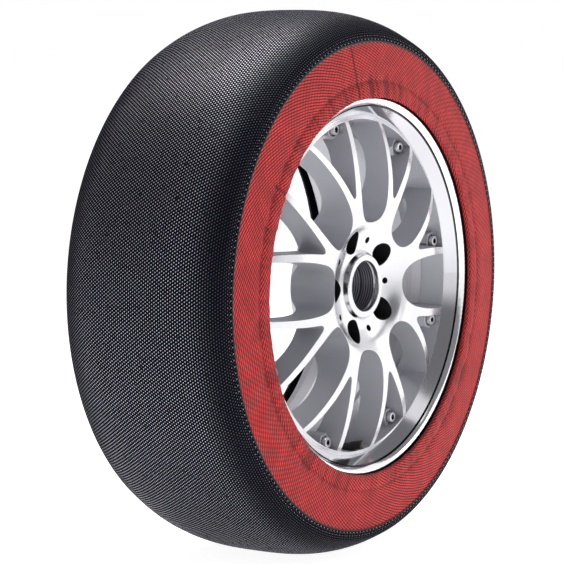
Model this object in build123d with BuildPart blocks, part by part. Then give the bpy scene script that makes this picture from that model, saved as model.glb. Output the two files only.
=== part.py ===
# Snow sock fitted over a tyre on a 16 inch alloy wheel.
# Frame: origin at the wheel's centre, +Y along the axle towards the vehicle, +Z up.
# The outer face of the wheel looks along -Y.  All sizes are in millimetres.
from build123d import *
from math import cos, hypot, radians, sin
import os

os.makedirs("parts", exist_ok=True)

# ---- driving dimensions: tyre and sock ----
TYRE_R = 315.9            # 205/55 R16: 16 inch rim plus two 112.75 mm sidewalls
FABRIC_T = 1.5            # one layer of sock fabric
FABRIC_GAP = 0.4          # air between the fabric and the rubber
SOCK_R = TYRE_R + FABRIC_GAP + FABRIC_T
CROWN_HALF = 105.0        # half width over which the crown formula holds
CROWN_DROP = 0.0738       # drop at that half width, as a share of the radius
SEAM_R = 281.4            # joint of the tread band and the side panels
SEAM_Y = 109.5
SEAM_W = 2.0
HEM_R = 219.8             # centre circle of the elastic cord
HEM_Y = 112.2
HEM_TUBE_R = 2.7
ELASTIC_R = 1.6
CLOSING_ANGLE = 100.0     # where the red panel's radial seam lies
CLOSING_ARC = 0.7         # its width as an angle
TREAD_HALF = 99.0
TREAD_T = 9.0
GROOVE_D = 7.0
GROOVE_W = 9.0
GROOVES_AT = (-54.0, -18.0, 18.0, 54.0)

# ---- driving dimensions: wheel (16 x 7J) ----
SEAT_R = 202.8            # bead seat
FLANGE_R = 220.3          # flange top
FLANGE_Y = 88.9           # flange faces, half of 7 inches
LIP_Y = 102.0             # plane of the outer lip's inner edge
RING_R = 197.3            # outer radius of the centre's ring, inside the barrel
RING_Y = 88.7
RING_BACK = 67.0
WELL_R = 178.7            # smallest inner radius of the barrel
PATTERN_TURN = -2.3       # turn of the spoke pattern from the +X axis
POCKETS = 8
DRAFT = 0.06              # wall draft, mm per mm of depth

# ---- driving dimensions: hub ----
PAD_Y = 45.0              # mounting face
PAD_R = 73.0
HUB_BORE_R = 31.7
HUB_BORE_LEN = 18.0
CAP_BORE_R = 29.3
BOSS_R = 36.8
BOSS_Y = 100.0
PCD = 108.0
LUG_POCKET_R = 13.5
LUG_HOLE_R = 7.25
LUG_SEAT_Y = 57.0
LUG_TURN = 38.0
LUG_CONE_W = 3.4          # how much wider the bolt seat's cone starts than its hole
LUG_CONE_D = 6.0
LUG_CONE_TAPER = 30
SMALL_HOLE_R = 3.65
SMALL_TURN = 2.0
SMALL_HOLE_BOTTOM = 68.0
PAD_RELIEF_R = 10.0
PAD_RELIEF_D = 9.0

# ---- driving dimensions: rim bolts and valve ----
BOLT_CIRCLE_R = 185.5
BOLT_ANGLES = [-2.6 + side * step for step in (15, 60, 105, 150) for side in (1, -1)]
EAR_FRONT = 80.0
EAR_BACK = 72.0
EAR_R = 11.6
EAR_NECK_W = 1.7 * EAR_R
PAD_FOOT = 48.0           # where the barrel's pads end, inside its slope
BOLT_R = 4.0
BOLT_PLAY = 0.2           # clearance round a bolt in its hole
BOLT_TIP = 60.0
BOLT_SEAT = 76.0
WASHER_R = 7.3
WASHER_T = 1.4
WASHER_PLAY = 0.4
HEAD_R = 6.0
HEAD_H = 7.5
SOCKET_R = 3.5
SOCKET_D = 4.0
VALVE_ANGLE = -92.0
VALVE_TILT = 12.0
VALVE_RIM_R = 192.5       # where the valve's axis meets the rim
VALVE_RIM_Y = 62.0
VALVE_HOLE_R = 5.75
VALVE_NOTCH_R = 13.2
VALVE_NOTCH_FOOT = -12.0
VALVE_NOTCH_D = 18.5
CAP_R = 5.35
CAP_PLAY = 0.9            # clearance round the valve cap where it passes the ring
SPOT_R = 10.0             # flat spot that the valve sits on
SPOT_WALL = 3.0
SPOT_FOOT = -8.0
SPOT_H = 11.0
RIM_AT_VALVE = 4.0        # thickness of the rim at the valve
THROUGH = 60.0            # length of a cut that leaves the part

FRONT = Plane.XZ          # local x = X, local y = Z, normal towards the outer face (-Y)


def crown(y, inset=0.0):
    """Radius of the sock's outer crown at width y, moved in by inset along the normal."""
    share = abs(y) / CROWN_HALF
    radius = SOCK_R * (1 - CROWN_DROP * share**3)
    slope = SOCK_R * CROWN_DROP * 3 * share**2 / CROWN_HALF
    return radius - inset * hypot(1, slope)


def mirrored(half):
    """Points from the outer side to the inner side, from the half with y < 0."""
    return half + [(r, -y) for r, y in reversed(half) if y != 0]


def save(builder, name):
    builder.part.label = name
    export_step(builder.part, f"parts/{name}.step")


# ================= snow sock =================

# (radius, half width) where the band rolls over the shoulder to its seam
SHOULDER_OUT = [(294.2, 105.2), (289.2, 107.4), (SEAM_R + SEAM_W / 2, SEAM_Y)]
band_steps = [-CROWN_HALF * k / 6 for k in (5.6, 4.8, 4, 3, 2, 1, 0)]
band_outer = [(r, -y) for r, y in reversed(SHOULDER_OUT)] + [(crown(y), y) for y in band_steps]
band_inner = [(r - 0.5 * FABRIC_T, FABRIC_T - y) for r, y in reversed(SHOULDER_OUT[1:])]
band_inner += [(SHOULDER_OUT[0][0] - 0.8 * FABRIC_T, 0.9 * FABRIC_T - SHOULDER_OUT[0][1])]
band_inner += [(crown(y, FABRIC_T), y) for y in band_steps]
band_inner[0] = (SEAM_R + SEAM_W / 2, FABRIC_T - SEAM_Y)

with BuildPart() as tread_fabric:
    with BuildSketch(Plane.XY):
        with BuildLine():
            outside = Spline(mirrored(band_outer))
            inside = Spline(mirrored(band_inner))
            Line(outside @ 0, inside @ 0)
            Line(outside @ 1, inside @ 1)
        make_face()
    revolve(axis=Axis.Y)
save(tread_fabric, "tread_fabric")


def panel_profile(side):
    """Side panel with its hem tube; side is -1 for the outer and 1 for the inner panel."""
    top = (SEAM_R - SEAM_W / 2, side * SEAM_Y)
    middle = (256.0, side * (SEAM_Y + 2.6))
    foot = (HEM_R + 1.5, side * (HEM_Y + 1.7))
    with BuildSketch(Plane.XY) as profile:
        with BuildLine():
            face = Spline(top, middle, foot)
            back = Spline(
                (top[0], top[1] - side * FABRIC_T),
                (middle[0], middle[1] - side * FABRIC_T),
                (foot[0], foot[1] - side * FABRIC_T),
            )
            Line(face @ 0, back @ 0)
            Line(face @ 1, back @ 1)
        make_face()
        with Locations((HEM_R, side * HEM_Y)):
            Circle(HEM_TUBE_R)
            Circle(ELASTIC_R, mode=Mode.SUBTRACT)
    return profile.sketch


def seam_profile(side):
    with BuildSketch(Plane.XY) as profile:
        with Locations((SEAM_R, side * (SEAM_Y - FABRIC_T / 2))):
            Rectangle(SEAM_W, FABRIC_T + 0.9)
    return profile.sketch


def elastic_profile(side):
    with BuildSketch(Plane.XY) as profile:
        with Locations((HEM_R, side * HEM_Y)):
            Circle(ELASTIC_R)
    return profile.sketch


outer_panel_profile = panel_profile(-1)
turn = Plane(origin=(0, 0, 0), x_dir=(cos(radians(CLOSING_ANGLE)), 0, sin(radians(CLOSING_ANGLE))),
             z_dir=(-sin(radians(CLOSING_ANGLE)), 0, cos(radians(CLOSING_ANGLE))))

with BuildPart() as outer_side_panel:
    with BuildSketch(turn):
        add(outer_panel_profile)
    revolve(axis=Axis.Y, revolution_arc=360 - CLOSING_ARC)
save(outer_side_panel, "outer_side_panel")

with BuildPart() as closing_seam:
    with BuildSketch(turn):
        add(outer_panel_profile)
    revolve(axis=Axis.Y, revolution_arc=-CLOSING_ARC)
save(closing_seam, "closing_seam")

with BuildPart() as outer_seam:
    with BuildSketch(Plane.XY):
        add(seam_profile(-1))
    revolve(axis=Axis.Y)
save(outer_seam, "outer_seam")

with BuildPart() as outer_elastic:
    with BuildSketch(Plane.XY):
        add(elastic_profile(-1))
    revolve(axis=Axis.Y)
save(outer_elastic, "outer_elastic")

with BuildPart() as inner_side_panel:
    with BuildSketch(Plane.XY):
        add(panel_profile(1))
    revolve(axis=Axis.Y)
save(inner_side_panel, "inner_side_panel")

with BuildPart() as inner_seam:
    with BuildSketch(Plane.XY):
        add(seam_profile(1))
    revolve(axis=Axis.Y)
save(inner_seam, "inner_seam")

with BuildPart() as inner_elastic:
    with BuildSketch(Plane.XY):
        add(elastic_profile(1))
    revolve(axis=Axis.Y)
save(inner_elastic, "inner_elastic")

# ================= tyre =================

SKIN = FABRIC_T + FABRIC_GAP
LINER_T = 1.6
BELT_T = 2.2
tread_steps = [-TREAD_HALF * k / 6 for k in (6, 5, 4, 3, 2, 1, 0)]


def tread_base(y):
    """Radius of the tread's underside: the rubber thins towards the shoulder."""
    return crown(y, SKIN) - TREAD_T + (TREAD_T - 3.0) * (abs(y) / TREAD_HALF) ** 4


tread_top = mirrored([(crown(y, SKIN), y) for y in tread_steps])
tread_under = mirrored([(tread_base(y), y) for y in tread_steps])

with BuildPart() as tyre_tread:
    with BuildSketch(Plane.XY):
        with BuildLine():
            top = Spline(tread_top)
            under = Spline(tread_under)
            Line(top @ 0, under @ 0)
            Line(top @ 1, under @ 1)
        make_face()
        for y in GROOVES_AT:
            with Locations((crown(y, SKIN), y)):
                Rectangle(2 * GROOVE_D, GROOVE_W, mode=Mode.SUBTRACT)
    revolve(axis=Axis.Y)
save(tyre_tread, "tyre_tread")

# Sidewall outline from the shoulder down to the flange, then the bead, as (radius, half width)
side_out = [
    (289.0, 102.4), (283.0, 105.5), (272.0, 108.2), (258.0, 109.2),
    (244.0, 107.2), (232.0, 102.0), (224.5, 95.0),
]
side_in = [
    (212.0, 72.0), (224.0, 82.5), (236.0, 93.0), (250.0, 99.3),
    (264.0, 99.8), (278.0, 95.0), (286.0, 87.0),
]
flange_clear = (220.2, 90.2)
heel_top = (213.5, FLANGE_Y - 0.3)
heel = (SEAT_R + 0.2, FLANGE_Y - 0.3)
toe = (SEAT_R - 1.0, 70.5)
BELT_COVER = 1.2
WIRE_R = 4.2
WIRE_AT = (210.0, 81.0)
FILLER_TIP = (240.0, 100.5)


def outer_half(points):
    """(radius, half width) points as (radius, y) points of the outer half, from bead to crown."""
    return [(r, -y) for r, y in points]


under_belt = [(crown(y, SKIN) - TREAD_T - BELT_T - 5.0, y) for y in (-70.0, -50.0, -25.0, 0.0)]
cavity_line = mirrored(outer_half(side_in) + under_belt)
shoulder = (tread_base(TREAD_HALF), TREAD_HALF)
belt_steps = [-80.0, -60.0, -40.0, -20.0, 0.0]
belt_top = mirrored([(tread_base(y) - BELT_COVER, y) for y in belt_steps])
belt_under = mirrored([(tread_base(y) - BELT_COVER - BELT_T, y) for y in belt_steps])


def belt_outline():
    with BuildSketch(Plane.XY) as profile:
        with BuildLine():
            top_line = Spline(belt_top)
            under_line = Spline(belt_under)
            Line(top_line @ 0, under_line @ 0)
            Line(top_line @ 1, under_line @ 1)
        make_face()
    return profile.sketch


def wire_outline(side):
    with BuildSketch(Plane.XY) as profile:
        with Locations((WIRE_AT[0], side * WIRE_AT[1])):
            Circle(WIRE_R)
    return profile.sketch


def filler_outline(side):
    """Tapered rubber wedge that stands on the bead wire."""
    foot = WIRE_AT[0] + 2.0
    with BuildSketch(Plane.XY) as profile:
        with BuildLine():
            Polyline(
                (foot, side * (WIRE_AT[1] - 3.2)),
                (foot, side * (WIRE_AT[1] + 3.6)),
                (FILLER_TIP[0], side * FILLER_TIP[1]),
                close=True,
            )
        make_face()
        with Locations((WIRE_AT[0], side * WIRE_AT[1])):
            Circle(WIRE_R, mode=Mode.SUBTRACT)
    return profile.sketch


with BuildPart() as tyre_casing:
    with BuildSketch(Plane.XY):
        with BuildLine():
            Spline(tread_under)
            Spline(cavity_line)
            for side in (-1, 1):
                Spline([(r, side * y) for r, y in [shoulder] + side_out])
                Polyline(
                    (side_out[-1][0], side * side_out[-1][1]),
                    (flange_clear[0], side * flange_clear[1]),
                    (heel_top[0], side * heel_top[1]),
                    (heel[0], side * heel[1]),
                    (toe[0], side * toe[1]),
                    (side_in[0][0], side * side_in[0][1]),
                )
        make_face()
        add(belt_outline(), mode=Mode.SUBTRACT)
        for side in (-1, 1):
            add(wire_outline(side), mode=Mode.SUBTRACT)
            add(filler_outline(side), mode=Mode.SUBTRACT)
    revolve(axis=Axis.Y)
save(tyre_casing, "tyre_casing")

with BuildPart() as steel_belts:
    with BuildSketch(Plane.XY):
        add(belt_outline())
    revolve(axis=Axis.Y)
save(steel_belts, "steel_belts")

# The liner follows the casing's inner face, one liner thickness further in
liner_side = [
    (214.0, 70.2), (225.5, 80.9), (237.3, 91.6), (250.6, 97.6),
    (263.4, 98.1), (276.6, 93.8), (284.4, 86.2),
]
under_liner = [(r - LINER_T, y) for r, y in under_belt]

with BuildPart() as inner_liner:
    with BuildSketch(Plane.XY):
        with BuildLine():
            laid = Spline(cavity_line)
            free = Spline(mirrored(outer_half(liner_side) + under_liner))
            Line(laid @ 0, free @ 0)
            Line(laid @ 1, free @ 1)
        make_face()
    revolve(axis=Axis.Y)
save(inner_liner, "inner_liner")

for side, place in ((-1, "outer"), (1, "inner")):
    with BuildPart() as bead_wire:
        with BuildSketch(Plane.XY):
            add(wire_outline(side))
        revolve(axis=Axis.Y)
    save(bead_wire, f"bead_wire_{place}")

    with BuildPart() as bead_filler:
        with BuildSketch(Plane.XY):
            add(filler_outline(side))
        revolve(axis=Axis.Y)
    save(bead_filler, f"bead_filler_{place}")

# ================= rim barrel =================

# Tyre side of the barrel, outer flange to inner flange, as (radius, y)
barrel_outer = [
    (FLANGE_R, -99.0), (219.9, -94.5), (218.4, -90.8), (214.5, -FLANGE_Y),
    (SEAT_R, -FLANGE_Y), (SEAT_R - 1.4, -70.0), (SEAT_R + 0.2, -66.5), (200.0, -63.0),
    (189.5, -51.0), (184.5, -46.0), (184.5, -26.0), (197.5, -8.0), (199.6, 62.0),
    (SEAT_R + 0.2, 66.5), (SEAT_R - 1.4, 70.0), (SEAT_R, FLANGE_Y), (214.5, FLANGE_Y),
    (218.6, 91.0), (FLANGE_R, 94.5), (219.0, 97.5), (215.5, 98.4),
]
# Brake side of the barrel, from the inner flange back to the outer lip
barrel_inner = [
    (211.5, 95.5), (206.5, 92.5), (199.0, 86.0), (195.4, 76.0), (193.4, 60.0), (191.6, -10.5),
    (WELL_R, -27.0), (WELL_R, -46.0), (183.2, -52.0), (RING_R, -RING_BACK), (RING_R, -RING_Y),
    (207.4, -LIP_Y), (208.2, -LIP_Y - 0.9), (208.8, -LIP_Y + 0.4), (209.4, -LIP_Y - 1.4),
]
# The rolled outer flange, from the groove beside the lip round to the tyre side
flange_roll = [(209.4, -LIP_Y - 1.4), (212.2, -106.6), (215.6, -108.2), (218.8, -105.6), (FLANGE_R, -99.0)]
# Room in front of the barrel's slope, as (radius, y), that the rim bolts' pads may fill
pad_limit = [(150.0, -90.0), (RING_R + 1.0, -90.0), (RING_R + 1.0, -65.0), (184.5, -50.0), (150.0, -50.0)]


def ears(start, depth, neck_end):
    """Six sided ears with a neck towards the barrel, from y = -start over a depth towards +Y."""
    with BuildPart() as block:
        with BuildSketch(FRONT.offset(start)):
            for angle in BOLT_ANGLES:
                with PolarLocations(BOLT_CIRCLE_R, 1, start_angle=angle):
                    RegularPolygon(radius=EAR_R, side_count=6)
                with PolarLocations((BOLT_CIRCLE_R + neck_end) / 2, 1, start_angle=angle):
                    Rectangle(neck_end - BOLT_CIRCLE_R, EAR_NECK_W)
        extrude(amount=-depth)
    return block.part


# The valve leans towards the axle; its sections are drawn as (radius, distance out from the rim)
valve_out = Vector(cos(radians(VALVE_ANGLE)), 0, sin(radians(VALVE_ANGLE)))
valve_origin = valve_out * VALVE_RIM_R + Vector(0, -VALVE_RIM_Y, 0)
valve_axis = valve_out * -sin(radians(VALVE_TILT)) + Vector(0, -cos(radians(VALVE_TILT)), 0)
valve_side = valve_out * cos(radians(VALVE_TILT)) + Vector(0, -sin(radians(VALVE_TILT)), 0)
VALVE_CUT = Plane(origin=valve_origin, x_dir=valve_side, z_dir=valve_side.cross(valve_axis))
VALVE_END = Plane(origin=valve_origin, x_dir=valve_side, z_dir=valve_axis)
VALVE_LINE = Axis(valve_origin, valve_axis)

with BuildPart() as pad_room:
    with BuildSketch(Plane.XY):
        with BuildLine():
            Polyline(pad_limit, close=True)
        make_face()
    revolve(axis=Axis.Y)
pads = ears(EAR_BACK, EAR_BACK - PAD_FOOT, RING_R - 1.0) & pad_room.part

with BuildPart() as rim_barrel:
    with BuildSketch(Plane.XY):
        with BuildLine():
            Polyline(barrel_outer + barrel_inner)
            Spline(flange_roll)
        make_face()
    revolve(axis=Axis.Y)
    add(pads)
    with BuildSketch(FRONT.offset(BOLT_TIP)):
        for angle in BOLT_ANGLES:
            with PolarLocations(BOLT_CIRCLE_R, 1, start_angle=angle):
                Circle(BOLT_R)
    extrude(amount=EAR_BACK - BOLT_TIP + 1.0, mode=Mode.SUBTRACT)
    with BuildSketch(VALVE_END.offset(SPOT_FOOT)):
        Circle(SPOT_R + SPOT_WALL)
    extrude(amount=SPOT_H)
    with BuildSketch(VALVE_END):
        Circle(SPOT_R)
    extrude(amount=20.0, mode=Mode.SUBTRACT)
    with BuildSketch(VALVE_END.offset(-RIM_AT_VALVE)):
        Circle(SPOT_R)
    extrude(amount=-20.0, mode=Mode.SUBTRACT)
    with BuildSketch(VALVE_END.offset(1.0)):
        Circle(VALVE_HOLE_R)
    extrude(amount=-RIM_AT_VALVE - 2.0, mode=Mode.SUBTRACT)
save(rim_barrel, "rim_barrel")

# ================= wheel centre =================

# Outer face from the cap bore to the ring, as (radius, y)
hub_front = [
    (CAP_BORE_R, -BOSS_Y + 0.6), (CAP_BORE_R + 0.6, -BOSS_Y),
    (BOSS_R - 1.0, -BOSS_Y), (BOSS_R, -BOSS_Y + 1.0),
]
dish = [
    (BOSS_R + 1.2, -93.0), (43.0, -91.0), (54.0, -92.6), (64.0, -97.6), (72.0, -103.6), (84.0, -107.8),
    (98.0, -109.4), (114.0, -109.4), (132.0, -108.0), (152.0, -104.8), (172.0, -99.6), (187.0, -94.0),
    (RING_R - 1.2, -RING_Y - 0.6),
]
ring_edge = [(RING_R, -RING_Y), (RING_R, -RING_BACK)]
slope_foot = [(190.0, -59.6), (184.6, -54.4)]
arch = [
    (184.6, -54.4), (176.0, -61.0), (165.0, -69.5), (150.0, -75.5), (132.0, -77.5), (115.0, -75.0),
    (100.0, -68.0), (88.0, -57.0), (80.0, -49.0), (PAD_R, -PAD_Y),
]
hub_bores = [
    (HUB_BORE_R + 1.2, -PAD_Y), (HUB_BORE_R, -PAD_Y - 1.2), (HUB_BORE_R, -PAD_Y - HUB_BORE_LEN),
    (27.0, -PAD_Y - HUB_BORE_LEN), (27.0, -76.0), (28.4, -76.0), (28.4, -92.5), (30.6, -92.5),
    (30.6, -95.0), (CAP_BORE_R, -95.0), (CAP_BORE_R, -BOSS_Y + 0.6),
]

# (radius, half width along the arc) of the two kinds of window between the spokes
POCKET_SIDE = [
    (73.0, 0.0), (74.2, 8.5), (77.0, 14.0), (81.0, 18.5), (86.5, 22.2), (93.0, 25.2), (101.0, 27.6),
    (112.0, 29.6), (130.0, 31.8), (150.0, 33.0), (170.0, 33.6), (194.0, 33.8),
]
FORK_SIDE = [
    (109.5, 0.0), (110.8, 2.4), (115.0, 4.8), (130.0, 10.2), (150.0, 18.0), (175.0, 28.4), (194.0, 37.0),
]

WINDOW_FRONT = 114.0
WINDOW_DEPTH = 76.0
EDGE_FADE = 5.0           # half width below which a window's wall draft fades out


def window_outline(side, depth):
    """Window outline at a depth behind the outer face: the drafted walls close in with depth."""
    shrink = DRAFT * depth
    foot = side[0][0] + shrink
    top = side[-1][0] - shrink
    span = side[-1][0] - side[0][0]
    points = []
    for radius, half in side:
        at = foot + (radius - side[0][0]) * (top - foot) / span
        angle = max(half - shrink * min(1.0, half / EDGE_FADE), 0.0) / at
        points.append((at, angle))
    left = [(r * cos(a), r * sin(a)) for r, a in reversed(points)]
    right = [(r * cos(a), -r * sin(a)) for r, a in points[1:]]
    with BuildSketch(FRONT.offset(WINDOW_FRONT - depth)) as outline:
        with BuildLine():
            edge = Spline(left + right)
            ThreePointArc(edge @ 0, (top, 0), edge @ 1)
        make_face()
    return outline.sketch


with BuildPart() as pocket:
    add(window_outline(POCKET_SIDE, 0.0))
    add(window_outline(POCKET_SIDE, WINDOW_DEPTH))
    loft(ruled=True)

with BuildPart() as fork:
    add(window_outline(FORK_SIDE, 0.0))
    add(window_outline(FORK_SIDE, WINDOW_DEPTH))
    loft(ruled=True)

with BuildPart() as wheel_centre:
    with BuildSketch(Plane.XY):
        with BuildLine():
            Polyline(hub_front + dish[:1])
            Spline(dish)
            Polyline(dish[-1:] + ring_edge + slope_foot)
            Spline(arch)
            Polyline(arch[-1:] + hub_bores)
        make_face()
    revolve(axis=Axis.Y)
    for k in range(POCKETS):
        turned = PATTERN_TURN + k * 360 / POCKETS
        add(pocket.part.rotate(Axis.Y, -turned), mode=Mode.SUBTRACT)
        add(fork.part.rotate(Axis.Y, -turned - 180 / POCKETS), mode=Mode.SUBTRACT)
    add(pads, mode=Mode.SUBTRACT)
    add(ears(EAR_FRONT, EAR_FRONT - EAR_BACK, RING_R - 3.0))
    with BuildSketch(VALVE_END.offset(VALVE_NOTCH_FOOT)):
        Circle(VALVE_NOTCH_R)
    extrude(amount=VALVE_NOTCH_D, mode=Mode.SUBTRACT)
    with BuildSketch(VALVE_END.offset(VALVE_NOTCH_FOOT + VALVE_NOTCH_D - 0.5)):
        Circle(CAP_R + CAP_PLAY)
    extrude(amount=THROUGH, mode=Mode.SUBTRACT)
    with BuildSketch(FRONT.offset(LUG_SEAT_Y)):
        with PolarLocations(PCD / 2, 5, start_angle=LUG_TURN):
            Circle(LUG_POCKET_R)
    extrude(amount=THROUGH, mode=Mode.SUBTRACT)
    with BuildSketch(FRONT.offset(LUG_SEAT_Y)):
        with PolarLocations(PCD / 2, 5, start_angle=LUG_TURN):
            Circle(LUG_HOLE_R + LUG_CONE_W)
    extrude(amount=-LUG_CONE_D, taper=LUG_CONE_TAPER, mode=Mode.SUBTRACT)
    with BuildSketch(FRONT.offset(PAD_Y - 5.0)):
        with PolarLocations(PCD / 2, 5, start_angle=LUG_TURN):
            Circle(LUG_HOLE_R)
    extrude(amount=30.0, mode=Mode.SUBTRACT)
    with BuildSketch(FRONT.offset(SMALL_HOLE_BOTTOM)):
        with PolarLocations(PCD / 2, 5, start_angle=SMALL_TURN):
            Circle(SMALL_HOLE_R)
    extrude(amount=THROUGH, mode=Mode.SUBTRACT)
    with BuildSketch(FRONT.offset(PAD_Y - 1.0)):
        with PolarLocations(PCD / 2, 5, start_angle=SMALL_TURN):
            Circle(PAD_RELIEF_R)
    extrude(amount=1.0 + PAD_RELIEF_D, mode=Mode.SUBTRACT)
    with BuildSketch(FRONT.offset(EAR_BACK - 2.0)):
        for angle in BOLT_ANGLES:
            with PolarLocations(BOLT_CIRCLE_R, 1, start_angle=angle):
                Circle(BOLT_R + BOLT_PLAY)
    extrude(amount=14.0, mode=Mode.SUBTRACT)
    with BuildSketch(FRONT.offset(BOLT_SEAT)):
        for angle in BOLT_ANGLES:
            with PolarLocations(BOLT_CIRCLE_R, 1, start_angle=angle):
                Circle(WASHER_R + WASHER_PLAY)
    extrude(amount=14.0, mode=Mode.SUBTRACT)
save(wheel_centre, "wheel_centre")

with BuildPart() as rim_bolt_washers:
    with BuildSketch(FRONT.offset(BOLT_SEAT)):
        for angle in BOLT_ANGLES:
            with PolarLocations(BOLT_CIRCLE_R, 1, start_angle=angle):
                Circle(WASHER_R)
                Circle(BOLT_R + BOLT_PLAY, mode=Mode.SUBTRACT)
    extrude(amount=WASHER_T)
save(rim_bolt_washers, "rim_bolt_washers")

with BuildPart() as rim_bolts:
    with BuildSketch(FRONT.offset(BOLT_TIP)):
        for angle in BOLT_ANGLES:
            with PolarLocations(BOLT_CIRCLE_R, 1, start_angle=angle):
                Circle(BOLT_R)
    extrude(amount=BOLT_SEAT + WASHER_T - BOLT_TIP)
    with BuildSketch(FRONT.offset(BOLT_SEAT + WASHER_T)):
        for angle in BOLT_ANGLES:
            with PolarLocations(BOLT_CIRCLE_R, 1, start_angle=angle):
                Circle(HEAD_R)
    extrude(amount=HEAD_H)
    with BuildSketch(FRONT.offset(BOLT_SEAT + WASHER_T + HEAD_H)):
        for angle in BOLT_ANGLES:
            with PolarLocations(BOLT_CIRCLE_R, 1, start_angle=angle):
                RegularPolygon(radius=SOCKET_R, side_count=6)
    extrude(amount=-SOCKET_D, mode=Mode.SUBTRACT)
save(rim_bolts, "rim_bolts")

# ================= tyre valve =================
# Every profile below is drawn in the valve's section plane as (radius, distance out from the rim).

RUBBER_TOP = 22.0
TUBE_TOP = 33.0
TUBE_FOOT = -10.0
THREAD_R = 3.85
SHANK_R = 2.9
CORE_HOLE_R = 1.6
CORE_FOOT = 20.0
CORE_NECK = 29.5          # where the core's wide bore ends
CORE_BORE_R = 1.25
PIN_HOLE_R = 0.65
AIR_HOLE_R = 0.9
AIR_HOLE_TOP = 16.0
PIN_FOOT = 18.4
PIN_R = 0.5
COLLAR_FOOT = 28.4
COLLAR_R = 1.12
CAP_TOP = 40.0
CAP_SLACK = 0.25          # clearance between the cap and the thread
CAP_FOOT = RUBBER_TOP + 0.4
SEAL_T = 1.4

with BuildPart() as valve_stem:
    with BuildSketch(VALVE_CUT):
        with BuildLine():
            Polyline(
                (SHANK_R, TUBE_FOOT), (8.2, TUBE_FOOT), (8.8, -8.5), (8.8, -RIM_AT_VALVE),
                (VALVE_HOLE_R, -RIM_AT_VALVE), (VALVE_HOLE_R, 0.0), (7.4, 0.0), (7.4, 1.2), (5.8, 6.0),
                (5.2, 16.0), (4.7, RUBBER_TOP), (SHANK_R, RUBBER_TOP), close=True,
            )
        make_face()
    revolve(axis=VALVE_LINE)
save(valve_stem, "valve_stem")

with BuildPart() as valve_tube:
    with BuildSketch(VALVE_CUT):
        with BuildLine():
            Polyline(
                (AIR_HOLE_R, TUBE_FOOT), (SHANK_R, TUBE_FOOT), (SHANK_R, RUBBER_TOP), (THREAD_R, RUBBER_TOP),
                (THREAD_R, TUBE_TOP - 0.5), (THREAD_R - 0.5, TUBE_TOP), (CORE_HOLE_R, TUBE_TOP),
                (CORE_HOLE_R, AIR_HOLE_TOP), (AIR_HOLE_R, AIR_HOLE_TOP), close=True,
            )
        make_face()
    revolve(axis=VALVE_LINE)
save(valve_tube, "valve_tube")

with BuildPart() as valve_core_body:
    with BuildSketch(VALVE_CUT):
        with BuildLine():
            Polyline(
                (PIN_HOLE_R, CORE_FOOT), (CORE_HOLE_R, CORE_FOOT), (CORE_HOLE_R, TUBE_TOP - 0.3),
                (PIN_HOLE_R, TUBE_TOP - 0.3), (PIN_HOLE_R, CORE_NECK), (CORE_BORE_R, CORE_NECK),
                (CORE_BORE_R, CORE_FOOT + 1.0), (PIN_HOLE_R, CORE_FOOT + 1.0), close=True,
            )
        make_face()
    revolve(axis=VALVE_LINE)
save(valve_core_body, "valve_core_body")

with BuildPart() as valve_core_pin:
    with BuildSketch(VALVE_CUT):
        with BuildLine():
            Polyline(
                (0.0, PIN_FOOT), (1.2, PIN_FOOT), (1.2, PIN_FOOT + 1.4), (PIN_R, PIN_FOOT + 1.4),
                (PIN_R, COLLAR_FOOT), (COLLAR_R, COLLAR_FOOT), (COLLAR_R, COLLAR_FOOT + 0.9),
                (PIN_R, COLLAR_FOOT + 0.9), (PIN_R, TUBE_TOP - 0.1), (0.0, TUBE_TOP - 0.1), close=True,
            )
        make_face()
    revolve(axis=VALVE_LINE)
save(valve_core_pin, "valve_core_pin")

SPRING_WIRE_R = 0.14
SPRING_COIL_R = 0.9
SPRING_TURNS = 7
SPRING_PLAY = 0.02        # air at each end of the spring
spring_base = VALVE_END.offset(CORE_FOOT + 1.0 + SPRING_WIRE_R + SPRING_PLAY)
spring_rise = COLLAR_FOOT - CORE_FOOT - 1.0 - 2 * (SPRING_WIRE_R + SPRING_PLAY)
coil = Helix(pitch=spring_rise / SPRING_TURNS, height=spring_rise, radius=SPRING_COIL_R)
coil_path = spring_base.location * coil

with BuildPart() as valve_core_spring:
    with BuildSketch(Plane(origin=coil_path @ 0, z_dir=coil_path % 0)):
        Circle(SPRING_WIRE_R)
    sweep(path=coil_path, is_frenet=True)
save(valve_core_spring, "valve_core_spring")

with BuildPart() as valve_cap_seal:
    with BuildSketch(VALVE_END.offset(TUBE_TOP + 0.4)):
        Circle(THREAD_R)
    extrude(amount=SEAL_T)
save(valve_cap_seal, "valve_cap_seal")

CAP_RIBS = 20
CAP_RIB_R = 0.5
CAP_ROOF = TUBE_TOP + 0.5 + SEAL_T

with BuildPart() as valve_cap:
    with BuildSketch(VALVE_CUT):
        with BuildLine():
            Polyline(
                (THREAD_R + CAP_SLACK, CAP_FOOT), (CAP_R - 0.3, CAP_FOOT), (CAP_R, CAP_FOOT + 0.8),
                (CAP_R, CAP_TOP - 1.6), (CAP_R - 1.6, CAP_TOP), (0.0, CAP_TOP), (0.0, CAP_ROOF),
                (THREAD_R + CAP_SLACK, CAP_ROOF), close=True,
            )
        make_face()
    revolve(axis=VALVE_LINE)
    with BuildSketch(VALVE_END.offset(CAP_FOOT + 2.6)):
        with PolarLocations(CAP_R + 0.15, CAP_RIBS):
            Circle(CAP_RIB_R)
    extrude(amount=CAP_TOP - CAP_FOOT - 5.1, mode=Mode.SUBTRACT)
save(valve_cap, "valve_cap")
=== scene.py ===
# Looks for the snow sock on its wheel: fabrics, stitching, polished alloy and the studio.
import math

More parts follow.
